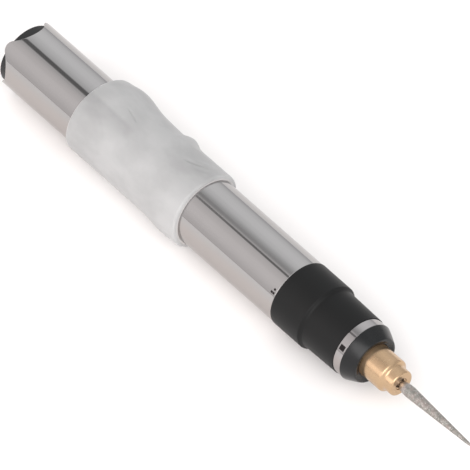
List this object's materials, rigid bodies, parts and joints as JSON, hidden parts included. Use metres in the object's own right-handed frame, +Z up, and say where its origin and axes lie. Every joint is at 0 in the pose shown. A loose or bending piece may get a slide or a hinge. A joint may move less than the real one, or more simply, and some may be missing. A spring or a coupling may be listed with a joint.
{
  "type": "electric engraving pen",
  "caption": "Slim corded engraving pen: chromed tube with scalloped tail, silicone grip sleeve, black nose, brass collet chuck and a long tapered diamond burr.",
  "frame": {"origin": "middle of the pen's length, on the surface that its grip sleeve lies on, under the pen's axis", "axes": "+X along the pen's axis towards the burr's tip, +Z up, +Y to the left seen from behind the tail"},
  "size_m": [0.1638, 0.0223, 0.022],
  "materials": {
    "tube_chrome": "polished",
    "sleeve_silicone": "satin",
    "plug_plastic": "satin",
    "wrap_rubber": "matte",
    "inlet_plastic": "satin",
    "plated_steel": "satin",
    "spring_bronze": "satin",
    "lead_red": "satin",
    "lead_black": "satin",
    "nose_plastic": "satin",
    "ring_chrome": "polished",
    "bezel_plastic": "satin",
    "motor_steel": "satin",
    "bell_plastic": "satin",
    "bush_bronze": "satin",
    "magnet_ferrite": "matte",
    "brush_carbon": "matte",
    "capacitor_coat": "satin",
    "shaft_steel": "polished",
    "rotor_steel": "satin",
    "coil_copper": "satin",
    "commutator_resin": "satin",
    "chuck_brass": "polished",
    "burr_grit": "matte"
  },
  "bodies": {
    "barrel": {"body_tube": "tube_chrome", "grip_sleeve": "sleeve_silicone", "end_plug": "plug_plastic", "motor_wrap": "wrap_rubber", "socket_body": "inlet_plastic", "socket_nut": "plated_steel", "socket_pin": "plated_steel", "socket_contact": "spring_bronze", "lead_red": "lead_red", "lead_black": "lead_black", "nose_shell": "nose_plastic", "nose_ring": "ring_chrome", "nose_bezel": "bezel_plastic", "motor_can": "motor_steel", "motor_end_bell": "bell_plastic", "front_bush": "bush_bronze", "rear_bush": "bush_bronze", "magnet_upper": "magnet_ferrite", "magnet_lower": "magnet_ferrite", "brush_left": "brush_carbon", "brush_right": "brush_carbon", "brush_arm_left": "spring_bronze", "brush_arm_right": "spring_bronze", "suppressor_capacitor": "capacitor_coat", "motor_screw_upper": "plated_steel", "motor_screw_lower": "plated_steel"},
    "spindle": {"motor_shaft": "shaft_steel", "rotor_core": "rotor_steel", "rotor_coil_1": "coil_copper", "rotor_coil_2": "coil_copper", "rotor_coil_3": "coil_copper", "commutator_hub": "commutator_resin", "commutator_segment_1": "coil_copper", "commutator_segment_2": "coil_copper", "commutator_segment_3": "coil_copper", "thrust_washer_front": "bell_plastic", "thrust_washer_rear": "bell_plastic", "chuck_body": "chuck_brass"},
    "collet_jaws": {"collet": "chuck_brass"},
    "nut": {"chuck_nut": "chuck_brass"},
    "cutter": {"burr": "burr_grit"}
  },
  "joints": [
    {"name": "spindle_spin", "type": "hinge", "parent": "barrel", "child": "spindle", "pos_m": [0, 0, 0.01043], "axis": [1, 0, 0], "continuous": true},
    {"name": "collet_travel", "type": "slide", "parent": "spindle", "child": "collet_jaws", "axis": [1, 0, 0], "range_m": [0, 0.0015]},
    {"name": "nut_turn", "type": "hinge", "parent": "collet_jaws", "child": "nut", "pos_m": [0.05, 0, 0.01043], "axis": [1, 0, 0], "range_deg": [0, 720]},
    {"name": "burr_pull", "type": "slide", "parent": "collet_jaws", "child": "cutter", "axis": [1, 0, 0], "range_m": [0, 0.019]}
  ],
  "couplings": [
    {"joint": "nut_turn", "follows": "collet_travel", "rad_per_m": 8377.6}
  ]
}
